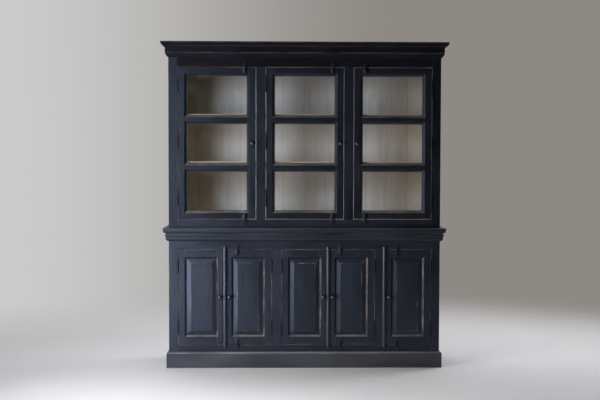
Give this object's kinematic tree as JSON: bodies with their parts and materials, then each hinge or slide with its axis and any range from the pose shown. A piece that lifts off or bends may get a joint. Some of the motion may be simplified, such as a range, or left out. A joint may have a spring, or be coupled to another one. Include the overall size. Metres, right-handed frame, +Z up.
{
  "type": "china hutch",
  "caption": "Two-stage painted wooden display cupboard: glazed doors over raised-panel doors, with cornice, waist moulding, plinth, turn latches, butt hinges and ball knobs.",
  "frame": {"origin": "on the floor, under the middle of the whole, cornice included", "axes": "+Z up, +X to the right along the front, +Y from the front to the back, doors facing -Y"},
  "size_m": [1.932, 0.478, 2.2],
  "materials": {
    "black_wood": "old black paint, worn along the edges, satin to matt",
    "pale_wood": "pale limewashed boards",
    "glass": "clear window glass",
    "iron": "blackened iron"
  },
  "bodies": {
    "cases": {"plinth_boards": "black_wood", "lower_sides": "black_wood", "lower_face_frame": "black_wood", "lower_boards": "pale_wood", "lower_back_boards": "pale_wood", "waist_moulding": "black_wood", "upper_sides": "black_wood", "upper_face_frame": "black_wood", "upper_boards": "pale_wood", "upper_shelves": "pale_wood", "upper_back_boards": "pale_wood", "cornice_moulding": "black_wood", "hinge_frame_leaves": "iron"},
    "upper_door_1": {"upper_door_1_frame": "black_wood", "upper_door_1_glass": "glass", "upper_door_1_knob": "iron", "upper_door_1_hinge_leaves": "iron"},
    "upper_door_1_top_latch": {"upper_door_1_top_latch": "iron"},
    "upper_door_1_bottom_latch": {"upper_door_1_bottom_latch": "iron"},
    "upper_door_2": {"upper_door_2_frame": "black_wood", "upper_door_2_glass": "glass", "upper_door_2_knob": "iron", "upper_door_2_hinge_leaves": "iron"},
    "upper_door_2_top_latch": {"upper_door_2_top_latch": "iron"},
    "upper_door_2_bottom_latch": {"upper_door_2_bottom_latch": "iron"},
    "upper_door_3": {"upper_door_3_frame": "black_wood", "upper_door_3_glass": "glass", "upper_door_3_knob": "iron", "upper_door_3_hinge_leaves": "iron"},
    "upper_door_3_top_latch": {"upper_door_3_top_latch": "iron"},
    "upper_door_3_bottom_latch": {"upper_door_3_bottom_latch": "iron"},
    "lower_door_1": {"lower_door_1_frame": "black_wood", "lower_door_1_panel": "black_wood", "lower_door_1_knob": "iron", "lower_door_1_hinge_leaves": "iron"},
    "lower_door_2": {"lower_door_2_frame": "black_wood", "lower_door_2_panel": "black_wood", "lower_door_2_knob": "iron", "lower_door_2_hinge_leaves": "iron", "lower_door_2_astragal": "black_wood"},
    "lower_door_2_top_latch": {"lower_door_2_top_latch": "iron"},
    "lower_door_2_bottom_latch": {"lower_door_2_bottom_latch": "iron"},
    "lower_door_3": {"lower_door_3_frame": "black_wood", "lower_door_3_panel": "black_wood", "lower_door_3_knob": "iron", "lower_door_3_hinge_leaves": "iron"},
    "lower_door_4": {"lower_door_4_frame": "black_wood", "lower_door_4_panel": "black_wood", "lower_door_4_knob": "iron", "lower_door_4_hinge_leaves": "iron", "lower_door_4_astragal": "black_wood"},
    "lower_door_4_top_latch": {"lower_door_4_top_latch": "iron"},
    "lower_door_4_bottom_latch": {"lower_door_4_bottom_latch": "iron"},
    "lower_door_5": {"lower_door_5_frame": "black_wood", "lower_door_5_panel": "black_wood", "lower_door_5_knob": "iron", "lower_door_5_hinge_leaves": "iron", "lower_door_5_astragal": "black_wood"},
    "lower_door_5_top_latch": {"lower_door_5_top_latch": "iron"},
    "lower_door_5_bottom_latch": {"lower_door_5_bottom_latch": "iron"}
  },
  "joints": [
    {"name": "upper_door_1_hinge", "type": "hinge", "parent": "cases", "child": "upper_door_1", "pos_m": [-0.8565, -0.1955, 1.521], "axis": [0, 0, -1], "range_deg": [0, 110]},
    {"name": "upper_door_1_top_latch_turn", "type": "hinge", "parent": "upper_door_1", "child": "upper_door_1_top_latch", "pos_m": [-0.40667, -0.191, 2.015], "axis": [0, -1, 0], "range_deg": [0, 90]},
    {"name": "upper_door_1_bottom_latch_turn", "type": "hinge", "parent": "upper_door_1", "child": "upper_door_1_bottom_latch", "pos_m": [-0.40667, -0.191, 1.027], "axis": [0, -1, 0], "range_deg": [0, 90]},
    {"name": "upper_door_2_hinge", "type": "hinge", "parent": "cases", "child": "upper_door_2", "pos_m": [-0.26317, -0.1955, 1.521], "axis": [0, 0, -1], "range_deg": [0, 110]},
    {"name": "upper_door_2_top_latch_turn", "type": "hinge", "parent": "upper_door_2", "child": "upper_door_2_top_latch", "pos_m": [0.18667, -0.191, 2.015], "axis": [0, -1, 0], "range_deg": [0, 90]},
    {"name": "upper_door_2_bottom_latch_turn", "type": "hinge", "parent": "upper_door_2", "child": "upper_door_2_bottom_latch", "pos_m": [0.18667, -0.191, 1.027], "axis": [0, -1, 0], "range_deg": [0, 90]},
    {"name": "upper_door_3_hinge", "type": "hinge", "parent": "cases", "child": "upper_door_3", "pos_m": [0.8565, -0.1955, 1.521], "axis": [0, 0, 1], "range_deg": [0, 110]},
    {"name": "upper_door_3_top_latch_turn", "type": "hinge", "parent": "upper_door_3", "child": "upper_door_3_top_latch", "pos_m": [0.40667, -0.191, 2.015], "axis": [0, -1, 0], "range_deg": [0, 90]},
    {"name": "upper_door_3_bottom_latch_turn", "type": "hinge", "parent": "upper_door_3", "child": "upper_door_3_bottom_latch", "pos_m": [0.40667, -0.191, 1.027], "axis": [0, -1, 0], "range_deg": [0, 90]},
    {"name": "lower_door_1_hinge", "type": "hinge", "parent": "cases", "child": "lower_door_1", "pos_m": [-0.8565, -0.1955, 0.481], "axis": [0, 0, -1], "range_deg": [0, 110]},
    {"name": "lower_door_2_hinge", "type": "hinge", "parent": "cases", "child": "lower_door_2", "pos_m": [-0.2243, -0.1955, 0.481], "axis": [0, 0, 1], "range_deg": [0, 90]},
    {"name": "lower_door_2_top_latch_turn", "type": "hinge", "parent": "lower_door_2", "child": "lower_door_2_top_latch", "pos_m": [-0.4584, -0.191, 0.787], "axis": [0, -1, 0], "range_deg": [0, 90]},
    {"name": "lower_door_2_bottom_latch_turn", "type": "hinge", "parent": "lower_door_2", "child": "lower_door_2_bottom_latch", "pos_m": [-0.4584, -0.191, 0.175], "axis": [0, -1, 0], "range_deg": [0, 90]},
    {"name": "lower_door_3_hinge", "type": "hinge", "parent": "cases", "child": "lower_door_3", "pos_m": [-0.1573, -0.1955, 0.481], "axis": [0, 0, -1], "range_deg": [0, 90]},
    {"name": "lower_door_4_hinge", "type": "hinge", "parent": "cases", "child": "lower_door_4", "pos_m": [0.4749, -0.1955, 0.481], "axis": [0, 0, 1], "range_deg": [0, 110]},
    {"name": "lower_door_4_top_latch_turn", "type": "hinge", "parent": "lower_door_4", "child": "lower_door_4_top_latch", "pos_m": [0.2408, -0.191, 0.787], "axis": [0, -1, 0], "range_deg": [0, 90]},
    {"name": "lower_door_4_bottom_latch_turn", "type": "hinge", "parent": "lower_door_4", "child": "lower_door_4_bottom_latch", "pos_m": [0.2408, -0.191, 0.175], "axis": [0, -1, 0], "range_deg": [0, 90]},
    {"name": "lower_door_5_hinge", "type": "hinge", "parent": "cases", "child": "lower_door_5", "pos_m": [0.8565, -0.1955, 0.481], "axis": [0, 0, 1], "range_deg": [0, 110]},
    {"name": "lower_door_5_top_latch_turn", "type": "hinge", "parent": "lower_door_5", "child": "lower_door_5_top_latch", "pos_m": [0.6239, -0.191, 0.787], "axis": [0, -1, 0], "range_deg": [0, 90]},
    {"name": "lower_door_5_bottom_latch_turn", "type": "hinge", "parent": "lower_door_5", "child": "lower_door_5_bottom_latch", "pos_m": [0.6239, -0.191, 0.175], "axis": [0, -1, 0], "range_deg": [0, 90]}
  ]
}
